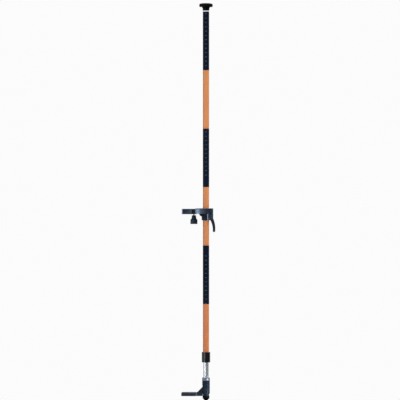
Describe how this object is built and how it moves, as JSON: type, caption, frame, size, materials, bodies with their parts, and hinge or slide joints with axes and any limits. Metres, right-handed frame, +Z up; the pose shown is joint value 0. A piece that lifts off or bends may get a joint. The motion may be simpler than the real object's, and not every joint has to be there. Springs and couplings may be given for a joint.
{
  "type": "telescopic clamping pole",
  "caption": "Telescopic floor-to-ceiling clamping pole with pedal-tensioned foot, screw lock collar, rubber ceiling pad and a sliding, swivelling instrument bracket.",
  "frame": {"origin": "centre of the rubber foot's flat tip, on the floor under the pole's axis", "axes": "+Z up along the pole; -X the way the platform and the pedal point; +Y to the back"},
  "size_m": [0.1748, 0.096, 2.0473],
  "materials": {
    "orange_coat": "satin orange coating",
    "black_film": "satin black film",
    "bare_aluminium": "turned",
    "polished_tube": "polished",
    "pad_rubber": "matt",
    "foot_rubber": "matt",
    "black_plastic": "fine grain",
    "gloss_collar": "smooth",
    "inner_plastic": "plain",
    "black_coat": "satin black coating",
    "steel": "plated"
  },
  "bodies": {
    "foot": {"foot_tip": "foot_rubber", "foot_plunger": "black_coat"},
    "leg": {"inner_tube": "polished_tube", "tube_guide": "inner_plastic", "foot_ring": "bare_aluminium", "ring_screws": "steel", "foot_housing": "black_coat", "pedal_pin": "steel", "plunger_screw": "steel"},
    "pedal": {"pedal": "black_coat"},
    "pole": {"lower_tube": "orange_coat", "middle_tube": "orange_coat", "upper_tube": "orange_coat", "lower_band": "black_film", "middle_band": "black_film", "upper_band": "black_film", "lower_coupler": "bare_aluminium", "upper_coupler": "bare_aluminium", "top_ferrule": "bare_aluminium", "pad_holder": "black_plastic", "pad_screw": "steel", "ceiling_pad": "pad_rubber", "collar_bush": "inner_plastic", "collet": "inner_plastic"},
    "lock_collar": {"lock_collar": "gloss_collar"},
    "carriage": {"pole_liner": "inner_plastic"},
    "bracket": {"bracket": "black_plastic", "liner_ring": "inner_plastic", "lever_pin": "steel"},
    "lever": {"clamp_lever": "black_plastic"},
    "shoe": {"clamp_shoe": "inner_plastic"},
    "slider": {"screw_slider": "inner_plastic"},
    "washer": {"screw_washer": "inner_plastic"},
    "knob": {"knob": "black_plastic", "instrument_screw": "steel", "screw_clip": "steel"}
  },
  "joints": [
    {"name": "foot_press", "type": "slide", "parent": "foot", "child": "leg", "axis": [0, 0, 1], "range_m": [-0.006, 0]},
    {"name": "pedal_hinge", "type": "hinge", "parent": "leg", "child": "pedal", "pos_m": [0, 0, 0.066], "axis": [0, 1, 0], "range_deg": [0, 60]},
    {"name": "leg_slide", "type": "slide", "parent": "leg", "child": "pole", "axis": [0, 0, 1], "range_m": [-0.075, 0.33]},
    {"name": "collar_turn", "type": "hinge", "parent": "pole", "child": "lock_collar", "pos_m": [0, 0, 0.23], "axis": [0, 0, 1], "range_deg": [0, 120]},
    {"name": "bracket_slide", "type": "slide", "parent": "pole", "child": "carriage", "axis": [0, 0, 1], "range_m": [-0.62, 0.99]},
    {"name": "bracket_swivel", "type": "hinge", "parent": "carriage", "child": "bracket", "pos_m": [0, 0, 0.965], "axis": [0, 0, 1], "continuous": true},
    {"name": "lever_hinge", "type": "hinge", "parent": "bracket", "child": "lever", "pos_m": [0.029, 0, 0.95], "axis": [0, -1, 0], "range_deg": [0, 90]},
    {"name": "shoe_slide", "type": "slide", "parent": "bracket", "child": "shoe", "axis": [1, 0, 0], "range_m": [0, 0.0008]},
    {"name": "screw_slide", "type": "slide", "parent": "bracket", "child": "slider", "axis": [-1, 0, 0], "range_m": [0, 0.04]},
    {"name": "screw_lift", "type": "slide", "parent": "slider", "child": "washer", "axis": [0, 0, 1], "range_m": [0, 0.006]},
    {"name": "knob_turn", "type": "hinge", "parent": "washer", "child": "knob", "pos_m": [-0.062, 0, 0.94], "axis": [0, 0, 1], "continuous": true}
  ],
  "couplings": [
    {"joint": "pedal_hinge", "follows": "foot_press", "rad_per_m": -174.5},
    {"joint": "shoe_slide", "follows": "lever_hinge", "m_per_rad": 0.000509}
  ]
}
